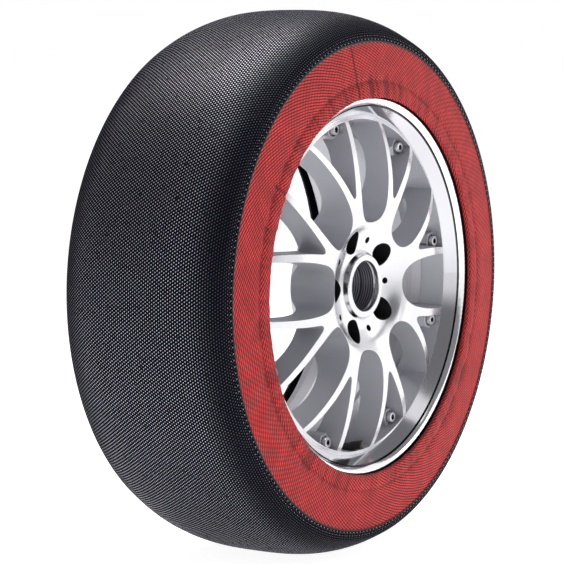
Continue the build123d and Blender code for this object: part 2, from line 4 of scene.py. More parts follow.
import bpy
import numpy as np
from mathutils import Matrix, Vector


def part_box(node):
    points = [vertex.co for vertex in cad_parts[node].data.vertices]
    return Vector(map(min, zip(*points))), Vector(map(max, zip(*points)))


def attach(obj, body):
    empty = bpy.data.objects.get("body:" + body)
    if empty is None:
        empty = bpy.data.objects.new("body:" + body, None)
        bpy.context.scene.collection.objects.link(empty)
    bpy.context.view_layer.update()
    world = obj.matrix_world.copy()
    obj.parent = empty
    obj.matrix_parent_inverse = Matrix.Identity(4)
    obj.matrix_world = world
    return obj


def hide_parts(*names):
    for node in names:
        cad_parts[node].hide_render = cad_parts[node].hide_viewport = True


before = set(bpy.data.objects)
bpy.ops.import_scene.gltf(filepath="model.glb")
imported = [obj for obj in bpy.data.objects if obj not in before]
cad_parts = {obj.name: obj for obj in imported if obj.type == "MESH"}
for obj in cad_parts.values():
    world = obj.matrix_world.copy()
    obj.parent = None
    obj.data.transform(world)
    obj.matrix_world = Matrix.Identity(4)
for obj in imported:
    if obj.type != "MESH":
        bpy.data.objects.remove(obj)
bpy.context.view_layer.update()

MM = 0.001
scene = bpy.context.scene


# ---------------------------------------------------------------- sizes read from the frame

TREAD_LOW, TREAD_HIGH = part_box("tread_fabric")
ELASTIC_LOW, ELASTIC_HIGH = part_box("outer_elastic")
SOCK_R = TREAD_HIGH.z
SEAM_Y = -TREAD_LOW.y
FLOOR_Z = TREAD_LOW.z
ELASTIC_R = (ELASTIC_HIGH.y - ELASTIC_LOW.y) / 2
HEM_R = ELASTIC_HIGH.z - ELASTIC_R
HEM_Y = abs((ELASTIC_LOW.y + ELASTIC_HIGH.y) / 2)
SEAM_HALF = 1.0 * MM
SEAM_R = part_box("outer_seam")[1].z - SEAM_HALF
SEAM_TUCK = 0.2 * MM          # how far the fabric's edges run past the seam's circle
CLOSING_ANGLE = math.radians(100.0)
PCD = 108.0 * MM
HOLE_MARGIN = 0.1 * MM
LUG_ANGLES = [38 + 72 * k for k in range(5)]
SMALL_ANGLES = [2 + 72 * k for k in range(5)]
LUG_POCKET_R = 13.5 * MM
SMALL_HOLE_R = 3.65 * MM
BOLT_CIRCLE_R = 185.5 * MM
BOLT_ANGLES = [-2.6 + side * step for step in (15, 60, 105, 150) for side in (1, -1)]


# ---------------------------------------------------------------- node helpers

class Shader:
    """A principled material and short names for the nodes that feed it."""

    def __init__(self, name, color, metallic=0.0, roughness=0.5, **more):
        self.material = bpy.data.materials.new(name)
        self.material.use_nodes = True
        self.tree = self.material.node_tree
        self.bsdf = self.tree.nodes["Principled BSDF"]
        self.set("Base Color", (*color, 1.0))
        self.set("Metallic", metallic)
        self.set("Roughness", roughness)
        for socket, value in more.items():
            self.set(socket.replace("_", " "), value)

    def set(self, socket, value):
        self.bsdf.inputs[socket].default_value = value

    def link(self, source, target):
        self.tree.links.new(source, target)

    def feed(self, source, socket):
        self.link(source, self.bsdf.inputs[socket])

    def node(self, kind, **settings):
        made = self.tree.nodes.new(kind)
        for key, value in settings.items():
            setattr(made, key, value)
        return made

    def value(self, operation, *inputs, clamp=False):
        made = self.node("ShaderNodeMath", operation=operation, use_clamp=clamp)
        for k, item in enumerate(inputs):
            if isinstance(item, (int, float)):
                made.inputs[k].default_value = item
            else:
                self.link(item, made.inputs[k])
        return made.outputs[0]

    def step(self, value, low, high):
        """0 below low, 1 above high, smooth between."""
        made = self.node("ShaderNodeMapRange", interpolation_type="SMOOTHSTEP")
        self.link(value, made.inputs["Value"])
        made.inputs["From Min"].default_value = low
        made.inputs["From Max"].default_value = high
        return made.outputs["Result"]

    def object_xyz(self):
        coords = self.node("ShaderNodeTexCoord")
        split = self.node("ShaderNodeSeparateXYZ")
        self.link(coords.outputs["Object"], split.inputs[0])
        return coords.outputs["Object"], split.outputs[0], split.outputs[1], split.outputs[2]

    def radius_xz(self, x, z):
        squares = self.value("ADD", self.value("MULTIPLY", x, x), self.value("MULTIPLY", z, z))
        return self.value("SQRT", squares)

    def inverse(self, value):
        """1 minus the value."""
        return self.value("SUBTRACT", 1.0, value)

    def line(self, value, slope, start):
        """start plus slope times the value."""
        return self.value("ADD", start, self.value("MULTIPLY", value, slope))

    def near_axes(self, x, z, circle, angles, reach):
        """1 within reach of any of the axes set round the axle at those angles, else 0."""
        nearest = None
        for angle in angles:
            across = self.value("SUBTRACT", x, circle * math.cos(math.radians(angle)))
            height = self.value("SUBTRACT", z, circle * math.sin(math.radians(angle)))
            far = self.radius_xz(across, height)
            nearest = far if nearest is None else self.value("MINIMUM", nearest, far)
        return self.value("LESS_THAN", nearest, reach)

    def uv(self):
        coords = self.node("ShaderNodeTexCoord")
        split = self.node("ShaderNodeSeparateXYZ")
        self.link(coords.outputs["UV"], split.inputs[0])
        return split.outputs[0], split.outputs[1]

    def noise(self, vector, scale, detail=2.0, rough=0.5):
        made = self.node("ShaderNodeTexNoise")
        made.inputs["Scale"].default_value = scale
        made.inputs["Detail"].default_value = detail
        made.inputs["Roughness"].default_value = rough
        self.link(vector, made.inputs["Vector"])
        return made.outputs["Fac"]

    def mix(self, factor, a, b):
        made = self.node("ShaderNodeMix", data_type="RGBA")
        self.link(factor, made.inputs["Factor"])
        for socket, item in ((6, a), (7, b)):
            if isinstance(item, tuple):
                made.inputs[socket].default_value = (*item, 1.0)
            else:
                self.link(item, made.inputs[socket])
        return made.outputs[2]

    def bump(self, height, strength, distance, normal=None):
        made = self.node("ShaderNodeBump")
        made.inputs["Strength"].default_value = strength
        made.inputs["Distance"].default_value = distance
        self.link(height, made.inputs["Height"])
        if normal is not None:
            self.link(normal, made.inputs["Normal"])
        return made.outputs["Normal"]


# ---------------------------------------------------------------- materials

GRAIN_ROUND = 4.0 * MM        # one cell of the grip fabric round the wheel
GRAIN_ACROSS = 2.8 * MM
GRAIN_TURN = math.radians(57)
GRAIN_LONG = 0.98             # half axes of a grain, in millimetres
GRAIN_SHORT = 0.58


def dotted_fabric():
    """Black grip fabric with staggered slanted grains of light thread, painted fainter over the shoulders as
    painted shade; one UV unit is one cell.
    """
    s = Shader("black_grip_fabric", (0.012, 0.012, 0.017), roughness=0.62)
    s.set("Specular IOR Level", 0.03)
    u, v = s.uv()
    odd = s.value("MODULO", s.value("FLOOR", v), 2.0)
    staggered = s.value("ADD", u, s.value("MULTIPLY", odd, 0.5))
    x = s.value("MULTIPLY", s.value("SUBTRACT", s.value("FRACT", staggered), 0.5), GRAIN_ROUND / MM)
    y = s.value("MULTIPLY", s.value("SUBTRACT", s.value("FRACT", v), 0.5), GRAIN_ACROSS / MM)
    sine, cosine = math.sin(GRAIN_TURN), math.cos(GRAIN_TURN)
    long_side = s.value("ADD", s.value("MULTIPLY", x, sine), s.value("MULTIPLY", y, cosine))
    short_side = s.value("SUBTRACT", s.value("MULTIPLY", x, cosine), s.value("MULTIPLY", y, sine))
    long_share = s.value("POWER", s.value("DIVIDE", long_side, GRAIN_LONG), 2.0)
    short_share = s.value("POWER", s.value("DIVIDE", short_side, GRAIN_SHORT), 2.0)
    far = s.value("SQRT", s.value("ADD", long_share, short_share))
    grain = s.inverse(s.step(far, 0.55, 1.05))
    vector, _, width, _ = s.object_xyz()
    # Painted shade: over the shoulders the grains are dimmed to 15 %, standing in for the dark band where
    # the fabric turns away from the lights; the patchy noise mask is the grains' own unevenness.
    shoulder_shade_band = s.step(s.value("ABSOLUTE", width), 66.0 * MM, 100.0 * MM)
    patchy_grain_and_shoulder_shade = s.value("MULTIPLY", grain, s.step(s.noise(vector, 420.0, 1.0), 0.15, 0.45))
    patchy_grain_and_shoulder_shade = s.value("MULTIPLY", patchy_grain_and_shoulder_shade, s.inverse(s.value("MULTIPLY", shoulder_shade_band, 0.85)))
    tint = s.mix(s.noise(vector, 9.0, 2.0), (0.49, 0.49, 0.56), (0.69, 0.69, 0.77))
    s.feed(s.mix(patchy_grain_and_shoulder_shade, (0.004, 0.004, 0.008), tint), "Base Color")
    s.feed(s.value("MULTIPLY", grain, 0.85), "Metallic")
    s.feed(s.line(grain, -0.40, 0.75), "Roughness")
    s.feed(s.bump(grain, 0.6, 0.3 * MM), "Normal")
    return s.material


def red_twill(name, deep, light):
    """Twill: short slanted floats with dark gaps, and painted shade in the creases from a mesh attribute;
    one UV unit is one float.
    """
    s = Shader(name, light, roughness=0.62, Sheen_Weight=0.03, Sheen_Roughness=0.4)
    s.set("Sheen Tint", (1.0, 0.45, 0.42, 1.0))
    s.set("Specular IOR Level", 0.25)
    u, v = s.uv()
    vector = s.object_xyz()[0]
    wobble = s.value("MULTIPLY", s.noise(vector, 70.0, 2.0), 0.8)
    slant = s.value("ADD", s.value("MULTIPLY", u, 0.5), s.value("ADD", v, wobble))
    rib = s.value("ABSOLUTE", s.value("SINE", s.value("MULTIPLY", slant, math.pi)))
    cross = s.value("SINE", s.value("MULTIPLY", s.value("SUBTRACT", u, v), math.pi / 2))
    weave = s.value("MULTIPLY", s.step(rib, 0.30, 0.90), s.line(s.value("ABSOLUTE", cross), 0.55, 0.45))
    stain = s.step(s.noise(vector, 45.0, 4.0, 0.6), 0.35, 0.7)
    # Painted shade: the colour is darkened by up to 92 % where the mesh attribute marks fold valleys, swell
    # hollows, the hem's stitch line and the closing seam's dip.
    crease_shade = s.node("ShaderNodeAttribute", attribute_name="crease_shade").outputs["Fac"]
    shade = s.value("MULTIPLY", weave, s.line(stain, 0.28, 0.72))
    shade = s.value("MULTIPLY", shade, s.inverse(s.value("MULTIPLY", crease_shade, 0.92)), clamp=True)
    s.feed(s.mix(shade, deep, light), "Base Color")
    s.feed(s.bump(weave, 0.7, 0.35 * MM), "Normal")
    return s.material


def thread(name, color):
    """Spun thread or tape of one colour."""
    s = Shader(name, color, roughness=0.6, Sheen_Weight=0.05)
    vector = s.object_xyz()[0]
    s.feed(s.bump(s.noise(vector, 1800.0, 1.0), 0.4, 0.1 * MM), "Normal")
    s.feed(s.mix(s.noise(vector, 900.0, 1.0), tuple(0.7 * c for c in color), color), "Base Color")
    return s.material


LATHE_PITCH = 0.55 * MM


def barrel_alloy():
    """Polished outer lip, flange and slope, with painted shade in the lip's groove and on the slope; silver
    paint on the rest of the barrel.
    """
    s = Shader("barrel_alloy", (0.93, 0.93, 0.95), metallic=1.0, roughness=0.14)
    vector, x, y, z = s.object_xyz()
    out = s.value("MULTIPLY", y, -1.0)
    radius = s.radius_xz(x, z)
    polished = s.step(out, 88.4 * MM, 89.0 * MM)
    path = s.value("ADD", radius, s.value("MULTIPLY", y, 0.7))
    rings = s.value("SINE", s.value("MULTIPLY", path, 2 * math.pi / LATHE_PITCH))
    s.feed(s.bump(rings, 0.12, 0.02 * MM), "Normal")
    paint_coat = s.mix(s.noise(vector, 25.0, 3.0), (0.42, 0.42, 0.45), (0.50, 0.50, 0.53))
    inside = s.inverse(s.step(radius, 209.2 * MM, 209.5 * MM))
    # Painted shade: the groove between lip and flange is painted near black for the shadow and dark
    # reflection in it, and the slope inside the flange is painted darker than the flange for its darker
    # reflection.
    groove_shadow = s.value("MULTIPLY", s.step(out, 101.5 * MM, 101.9 * MM), inside)
    flange = s.step(radius, 207.6 * MM, 208.2 * MM)
    metal_and_painted_shade = s.mix(groove_shadow, s.mix(flange, (0.62, 0.62, 0.65), (0.90, 0.90, 0.92)), (0.05, 0.05, 0.05))
    s.feed(s.mix(polished, paint_coat, metal_and_painted_shade), "Base Color")
    s.feed(s.line(polished, -0.27, 0.40), "Roughness")
    s.feed(s.line(polished, 0.4, 0.6), "Metallic")
    return s.material


CAP_SEAT_PITCH = 3.2 * MM     # rings seen down the centre bore


def machined_and_painted():
    """Wheel centre: bright machined faces outside, grey painted walls and back, with painted shade in the
    centre bore and the bolt holes.
    """
    s = Shader("wheel_centre_alloy", (0.8, 0.8, 0.82), metallic=1.0, roughness=0.24)
    vector, x, y, z = s.object_xyz()
    out = s.value("MULTIPLY", y, -1.0)
    geometry = s.node("ShaderNodeNewGeometry")
    normal = s.node("ShaderNodeSeparateXYZ")
    s.link(geometry.outputs["True Normal"], normal.inputs[0])
    facing = s.step(s.value("MULTIPLY", normal.outputs[1], -1.0), 0.30, 0.42)
    radius = s.radius_xz(x, z)
    bright = s.value("MULTIPLY", facing, s.step(out, 83.5 * MM, 84.0 * MM))
    boss = s.value("MULTIPLY", s.step(out, 89.5 * MM, 90.0 * MM), s.value("LESS_THAN", radius, 38.7 * MM))
    bore = s.value("MULTIPLY", s.value("LESS_THAN", radius, 29.2 * MM), s.value("LESS_THAN", out, 99.3 * MM))
    bright = s.value("MULTIPLY", s.value("MAXIMUM", bright, boss), s.inverse(bore))
    lugs = s.near_axes(x, z, PCD / 2, LUG_ANGLES, LUG_POCKET_R + HOLE_MARGIN)
    smalls = s.near_axes(x, z, PCD / 2, SMALL_ANGLES, SMALL_HOLE_R + HOLE_MARGIN)
    either = s.value("MAXIMUM", lugs, smalls)
    walls = s.value("MULTIPLY", either, s.inverse(facing))
    seats = s.value("MULTIPLY", either, s.value("LESS_THAN", out, 75.0 * MM))
    # Painted shadow: the walls and deep seats of the lug and small holes are painted near black, standing in
    # for the shade inside them.
    hole_shadow = s.value("MULTIPLY", s.value("MAXIMUM", walls, seats), s.value("GREATER_THAN", out, 46.0 * MM))
    cloud = s.noise(vector, 14.0, 3.0)
    painted = s.mix(cloud, (0.46, 0.46, 0.50), (0.58, 0.58, 0.62))
    # Painted shade: the centre bore is painted dark, with lighter rings at its groove pitch, standing in for
    # the shade down the bore.
    grooves = s.value("SINE", s.value("MULTIPLY", out, 2 * math.pi / CAP_SEAT_PITCH))
    bore_shade = s.mix(s.step(grooves, -0.2, 0.6), (0.035, 0.035, 0.04), (0.20, 0.20, 0.23))
    color = s.mix(bright, painted, s.mix(cloud, (0.60, 0.60, 0.62), (0.74, 0.74, 0.76)))
    color = s.mix(bore, color, bore_shade)
    s.feed(s.mix(hole_shadow, color, (0.010, 0.010, 0.011)), "Base Color")
    s.feed(s.line(bright, -0.19, 0.42), "Roughness")
    s.feed(s.value("SUBTRACT", s.line(bright, 0.45, 0.55), s.value("MULTIPLY", hole_shadow, 0.55)), "Metallic")
    bevel = s.node("ShaderNodeBevel", samples=4)
    bevel.inputs["Radius"].default_value = 0.9 * MM
    cast = s.value("MULTIPLY", s.noise(vector, 900.0, 2.0), s.inverse(bright))
    s.feed(s.bump(cast, 0.2, 0.12 * MM, bevel.outputs["Normal"]), "Normal")
    return s.material


def bolt_metal():
    """Zinc plated bolt with its hexagon socket painted dark as painted shade, and a dark ring round the
    head's top.
    """
    s = Shader("bright_zinc_steel", (0.8, 0.8, 0.82), metallic=0.7, roughness=0.3)
    vector, x, y, z = s.object_xyz()
    # Painted shade: the socket inside each head is painted near black, standing in for the shade in it.
    socket = s.near_axes(x, z, BOLT_CIRCLE_R, BOLT_ANGLES, 3.4 * MM)
    top = s.value("MULTIPLY", y, -1.0)
    under = s.value("LESS_THAN", top, 84.85 * MM)
    waist = s.value("LESS_THAN", top, 79.2 * MM)
    dark = s.value("MAXIMUM", s.value("MULTIPLY", socket, under), waist)
    scratch = s.noise(vector, 600.0, 3.0)
    zinc = s.mix(scratch, (0.70, 0.70, 0.72), (0.86, 0.86, 0.88))
    s.feed(s.mix(dark, zinc, (0.02, 0.02, 0.02)), "Base Color")
    s.feed(s.bump(scratch, 0.1, 0.1 * MM), "Normal")
    return s.material


def plain(name, color, metallic, roughness, grain_scale, grain):
    """Moulded rubber, plastic or small metal parts with a fine surface grain."""
    s = Shader(name, color, metallic=metallic, roughness=roughness)
    vector = s.object_xyz()[0]
    fine = s.noise(vector, grain_scale, 3.0)
    low = tuple(0.75 * c for c in color)
    high = tuple(min(1.0, 1.15 * c) for c in color)
    s.feed(s.mix(fine, low, high), "Base Color")
    s.feed(s.bump(fine, grain, 0.1 * MM), "Normal")
    return s.material


def paint(material, *names):
    """Give the carried-over CAD nodes their material."""
    for name in names:
        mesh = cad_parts[name].data
        mesh.materials.clear()
        mesh.materials.append(material)


GRIP = dotted_fabric()
RED = red_twill("red_twill_fabric", (0.050, 0.002, 0.003), (0.90, 0.048, 0.046))
SEAM_TAPE = thread("black_seam_tape", (0.005, 0.005, 0.006))
HEM_THREAD = thread("red_hem_thread", (0.36, 0.015, 0.015))
CLOSING_THREAD = thread("dark_closing_thread", (0.10, 0.004, 0.005))
WHITE_THREAD = thread("light_seam_thread", (0.42, 0.42, 0.44))
LIP = barrel_alloy()
CENTRE = machined_and_painted()
BOLT = bolt_metal()
WASHER = plain("washer_steel", (0.86, 0.86, 0.88), 0.5, 0.3, 300.0, 0.1)
RUBBER = plain("black_rubber", (0.018, 0.018, 0.019), 0.0, 0.65, 500.0, 0.4)
TYRE = plain("tyre_rubber", (0.022, 0.022, 0.023), 0.0, 0.75, 350.0, 0.4)
CAP = plain("black_ribbed_plastic", (0.012, 0.012, 0.013), 0.0, 0.42, 700.0, 0.2)
BRASS = plain("turned_brass", (0.62, 0.60, 0.55), 1.0, 0.3, 600.0, 0.1)
STEEL = plain("steel_cord", (0.5, 0.47, 0.4), 1.0, 0.35, 400.0, 0.2)
ELASTIC = plain("covered_elastic", (0.05, 0.05, 0.05), 0.0, 0.7, 800.0, 0.4)

paint(LIP, "rim_barrel")
paint(CENTRE, "wheel_centre")
paint(BOLT, "rim_bolts")
paint(WASHER, "rim_bolt_washers")
paint(RUBBER, "valve_stem", "valve_cap_seal")
paint(BRASS, "valve_tube", "valve_core_body", "valve_core_pin")
paint(STEEL, "valve_core_spring", "steel_belts", "bead_wire_outer", "bead_wire_inner")
paint(CAP, "valve_cap")
paint(TYRE, "tyre_tread", "tyre_casing", "inner_liner", "bead_filler_outer", "bead_filler_inner")
paint(ELASTIC, "outer_elastic", "inner_elastic")


# ---------------------------------------------------------------- mesh helpers

def on_sock(made, node=None):
    """Link a piece that rides on the sock, and hide the CAD node it stands for."""
    scene.collection.objects.link(made)
    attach(made, "sock")
    if node is not None:
        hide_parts(node)


def angles(count):
    """Even angles round the wheel, as a column."""
    return np.linspace(0, 2 * math.pi, count, endpoint=False)[:, None]


def smooth_noise(angle, waves, seed):
    """Periodic noise round the circle, between -1 and 1, with about that many waves."""
    values = np.random.RandomState(seed).uniform(-1, 1, waves * 2)
    place = angle / (2 * math.pi) * len(values)
    low = np.floor(place).astype(int)
    part = place - low
    ease = part * part * (3 - 2 * part)
    return values[low % len(values)] * (1 - ease) + values[(low + 1) % len(values)] * ease


def lathe_mesh(name, radius, width, turns_u, cells_v, material, node, crease_shade=None):
    """Closed ring from grids of radius and y (angle by profile), UV in cells round and across."""
    around, across = radius.shape
    angle = angles(around)
    points = np.stack([radius * np.cos(angle), width, radius * np.sin(angle)], axis=2).reshape(-1, 3)
    i, j = np.meshgrid(np.arange(around), np.arange(across - 1), indexing="ij")
    nxt = (i + 1) % around
    faces = np.stack([i * across + j, nxt * across + j, nxt * across + j + 1, i * across + j + 1], axis=2)
    faces = faces.reshape(-1, 4)
    mesh = bpy.data.meshes.new(name)
    mesh.from_pydata(points.tolist(), [], faces.tolist())
    layer = mesh.uv_layers.new(name="UVMap")
    u = np.stack([i, i + 1, i + 1, i], axis=2).reshape(-1) / around * turns_u
    v = np.stack([cells_v[j], cells_v[j], cells_v[j + 1], cells_v[j + 1]], axis=2).reshape(-1)
    layer.data.foreach_set("uv", np.stack([u, v], axis=1).astype(np.float32).reshape(-1))
    mesh.polygons.foreach_set("use_smooth", np.ones(len(faces), bool))
    # Per-point painted shade for the fabric's creases, read by the red twill.
    if crease_shade is not None:
        layer = mesh.attributes.new("crease_shade", "FLOAT", "POINT")
        layer.data.foreach_set("value", np.clip(crease_shade, 0, 1).astype(np.float32).reshape(-1))
    mesh.materials.append(material)
    mesh.update()
    made = bpy.data.objects.new(name, mesh)
    on_sock(made, node)
    return made


def along(points):
    """Length along a profile, point by point."""
    steps = np.hypot(*np.diff(np.array(points), axis=0).T)
    return np.concatenate([[0.0], np.cumsum(steps)])


def resample(points, count):
    """The same profile with evenly spaced points on a smooth (Catmull-Rom) curve."""
    p = np.array([2 * np.array(points[0]) - points[1], *points, 2 * np.array(points[-1]) - points[-2]])
    fine = []
    for k in range(1, len(p) - 2):
        for t in np.linspace(0, 1, 24, endpoint=False):
            a, b, c, d = p[k - 1], p[k], p[k + 1], p[k + 2]
            fine.append(0.5 * (2 * b + (c - a) * t + (2 * a - 5 * b + 4 * c - d) * t * t
                               + (3 * b - a - 3 * c + d) * t**3))
    fine = np.array(fine + [p[-2]])
    length = along(fine)
    target = np.linspace(0, length[-1], count)
    return np.stack([np.interp(target, length, fine[:, k]) for k in (0, 1)], axis=1)


# ---------------------------------------------------------------- tread band

CROWN_HALF = 105.0 * MM
CROWN_DROP = 0.0738
BAND_AROUND = 960
BAND_ACROSS = 150
SHOULDER_START = 70 * MM      # half width where the band starts to roll over the shoulder
SHOULDER_SPAN = 35 * MM
PULL_HEIGHT = 0.35 * MM
SOFT_HEIGHT = 0.25 * MM


def crown(y):
    """Radius of the sock's crown at width y."""
    return SOCK_R * (1 - CROWN_DROP * abs(y / CROWN_HALF) ** 3)


def tread_band():
    """Black band from seam to seam, slightly pulled and creased over the shoulders."""
    half = [(SEAM_R - SEAM_TUCK, -SEAM_Y), (289.2 * MM, -107.4 * MM), (294.2 * MM, -105.2 * MM)]
    half += [(crown(y), y) for y in -CROWN_HALF * np.array([0.93, 0.8, 0.66, 0.5, 0.33, 0.16])]
    profile = resample(half + [(crown(0.0), 0.0)] + [(r, -y) for r, y in reversed(half)], BAND_ACROSS)
    angle = angles(BAND_AROUND)
    edge = np.clip((np.abs(profile[:, 1]) - SHOULDER_START) / SHOULDER_SPAN, 0, 1)[None, :]
    pull = PULL_HEIGHT * (0.5 + 0.5 * smooth_noise(angle, 46, 3)) * edge
    soft = SOFT_HEIGHT * (0.5 + 0.5 * smooth_noise(angle + 3 * profile[None, :, 1], 17, 4))
    radius = profile[None, :, 0] + (pull + soft) * (1 - edge**6)
    width = np.repeat(profile[None, :, 1], BAND_AROUND, axis=0)
    cells_round = round(2 * math.pi * SOCK_R / GRAIN_ROUND)
    made = lathe_mesh("tread_band_fabric", radius, width, cells_round, along(profile) / GRAIN_ACROSS,
                      GRIP, "tread_fabric")


# ---------------------------------------------------------------- side panels

TUBE_R = 2.7 * MM
HEM_LINE_R = 236.0 * MM
PANEL_ACROSS = 84
PANEL_MID_R = 0.25
GATHERS_AT = math.radians(112)


def panel_profile(count):
    """Outer face from the seam to the hem, round the elastic and back to the hem's stitch line."""
    face = [(SEAM_R - SEAM_TUCK, SEAM_Y), (270 * MM, SEAM_Y + 1.3 * MM), (256 * MM, SEAM_Y + 2.6 * MM),
            (244 * MM, SEAM_Y + 3.5 * MM), (HEM_LINE_R, SEAM_Y + 3.4 * MM), (229 * MM, HEM_Y + 2.4 * MM)]
    roll = [(HEM_R + TUBE_R * math.cos(a), HEM_Y + TUBE_R * math.sin(a))
            for a in np.radians([90, 120, 150, 180, 210, 240, 270])]
    back = [(HEM_R + 8 * MM, HEM_Y - 1.6 * MM), (HEM_LINE_R, SEAM_Y + 1.6 * MM)]
    return resample(face + roll + back, count)


# Relief of the side panels: radii where it starts and fades, waves round the wheel, heights
FRONT_LENGTH = 60 * MM        # length of the visible face, counted from the seam
FRONT_FADE = 12 * MM
GATHER_TOP_R = 252 * MM
GATHER_FADE = 20 * MM
SWELL_TOP_R = 274 * MM
SWELL_TOP_FADE = 40 * MM
SWELL_FOOT_R = 222 * MM
SWELL_FOOT_FADE = 10 * MM
TUCK_TOP_R = 229 * MM
TUCK_FADE = 9 * MM
LEAN_R = 250 * MM             # radius at which the drifting folds cross their own angle
LEAN_SPAN = 30 * MM
MOOD_WAVES = 13
DRIFT_WAVES = 30
FOLD_WAVES = 74
FINE_FOLD_WAVES = 171
SWELL_WAVES = 31
TUCK_WAVES = 96
PUCKER_WAVES = 260
SWELL_HEIGHT = 1.1 * MM
TUCK_DEPTH = 0.7 * MM
PUCKER_DEPTH = 0.4 * MM
STITCH_LINE_W = 1.6 * MM
CLOSING_W = 1.3 * MM
LEAST_LIFT = -1.0 * MM
EDGE_FADE = 10 * MM


def panel_relief(angle, r, length, seed, gather, closing):
    """Lift off the plain panel, inward tuck of the hem, and how much painted shade each point's crease gets.
    """
    front = np.clip(1 - (length - FRONT_LENGTH) / FRONT_FADE, 0, 1)
    toward_hem = np.clip((GATHER_TOP_R - r) / GATHER_FADE, 0, 1)
    toward_hem = toward_hem * toward_hem * (3 - 2 * toward_hem)
    mood = 0.40 + 0.60 * np.clip(np.cos((angle - GATHERS_AT) * 0.8), 0, 1) ** 2
    mood = mood * (0.65 + 0.35 * smooth_noise(angle, MOOD_WAVES, seed))
    drift = 0.012 * smooth_noise(angle, DRIFT_WAVES, seed + 1) * (LEAN_R - r) / LEAN_SPAN
    fold = 0.7 * smooth_noise(angle + drift, FOLD_WAVES, seed + 2)
    fold = fold + 0.5 * smooth_noise(angle - drift, FINE_FOLD_WAVES, seed + 3)
    ridge = gather * mood * toward_hem * fold * front
    above_foot = np.clip((r - SWELL_FOOT_R) / SWELL_FOOT_FADE, 0, 1)
    reach = np.clip((SWELL_TOP_R - r) / SWELL_TOP_FADE, 0, 1) * above_foot
    slant = 0.024 * (r - LEAN_R) / LEAN_SPAN
    swell = smooth_noise(angle + slant, SWELL_WAVES, seed + 4)
    broad = SWELL_HEIGHT * swell * reach * mood
    hem = np.clip((TUCK_TOP_R - r) / TUCK_FADE, 0, 1)
    tuck = TUCK_DEPTH * smooth_noise(angle, TUCK_WAVES, seed + 5) * hem * mood
    stitch_line = np.exp(-((r - HEM_LINE_R) / STITCH_LINE_W) ** 2) * front
    pucker = -PUCKER_DEPTH * stitch_line * (1 + 0.6 * smooth_noise(angle, PUCKER_WAVES, seed + 6))
    off_seam = np.abs((angle - CLOSING_ANGLE + math.pi) % (2 * math.pi) - math.pi) * r
    seam = np.exp(-(off_seam / CLOSING_W) ** 2) * front
    lift = np.maximum(ridge + broad + pucker, LEAST_LIFT) - closing * seam
    lift = lift * np.clip((SEAM_R - r) / EDGE_FADE, 0, 1)
    # Painted shade for the twill: dark in fold valleys, swell hollows, along the hem's stitch line and down
    # the closing seam's dip.
    crease_shade = np.clip(-fold * 2.4 - 0.35, 0, 1) * toward_hem * mood * front
    crease_shade = crease_shade + np.clip(-swell - 0.55, 0, 1) * reach * mood * 0.8 + 0.35 * stitch_line
    crease_shade = crease_shade + (0.95 * seam if closing > 0 else 0)
    return lift, tuck, crease_shade


def side_panel(name, side, material, node, around, across, seed, cell, gather, closing):
    """Ring of fabric with gathers at the hem; closing is how deep its radial seam dips."""
    profile = panel_profile(across)
    r = profile[None, :, 0]
    lift, tuck, crease_shade = panel_relief(angles(around), r, along(profile)[None, :], seed, gather, closing)
    width = side * (profile[None, :, 1] + lift)
    radius = np.repeat(r, around, axis=0) + tuck
    cells_round = round(2 * math.pi * PANEL_MID_R / cell)
    made = lathe_mesh(name, radius, width, cells_round, along(profile) / cell, material, node, crease_shade)


SEAM_STITCHES = 250           # stitches round each seam
SEAM_EDGE_D = 1.6 * MM
SEAM_EDGE_AROUND = 720


def seam_edge(name, y, node):
    """The seam's turned edge: a thin round cord all the way round, nipped by every stitch."""
    turn = np.linspace(0, 2 * math.pi, 9)
    half = SEAM_EDGE_D / 2
    section = np.stack([SEAM_R + half * np.cos(turn), y + half * np.sin(turn)], axis=1)
    wave = 0.12 * MM * np.sin(angles(SEAM_EDGE_AROUND) * SEAM_STITCHES)
    rings = np.repeat(section[None, :, 0], SEAM_EDGE_AROUND, axis=0) + wave
    width = np.repeat(section[None, :, 1], SEAM_EDGE_AROUND, axis=0)
    lathe_mesh(name, rings, width, SEAM_STITCHES, along(section) / MM, SEAM_TAPE, node)


def closing_thread(seed):
    """Thread down the red panel's radial seam, with a slight wander."""
    profile = panel_profile(PANEL_ACROSS)
    cosine, sine = math.cos(CLOSING_ANGLE), math.sin(CLOSING_ANGLE)
    points = [Vector((r * cosine, -y + 0.25 * MM, r * sine))
              for r, y in profile if r > HEM_R + 3 * MM and y > SEAM_Y][:44]
    curve = bpy.data.curves.new("closing_seam_thread", "CURVE")
    curve.dimensions = "3D"
    curve.bevel_depth = 0.45 * MM
    curve.bevel_resolution = 2
    spline = curve.splines.new("POLY")
    spline.points.add(len(points) - 1)
    wander = np.random.RandomState(seed).uniform(-0.25, 0.25, len(points)) * MM
    for point, place, shift in zip(spline.points, points, wander):
        point.co = (place.x + shift, place.y, place.z, 1.0)
    curve.materials.append(CLOSING_THREAD)
    on_sock(bpy.data.objects.new("closing_seam_thread", curve), "closing_seam")


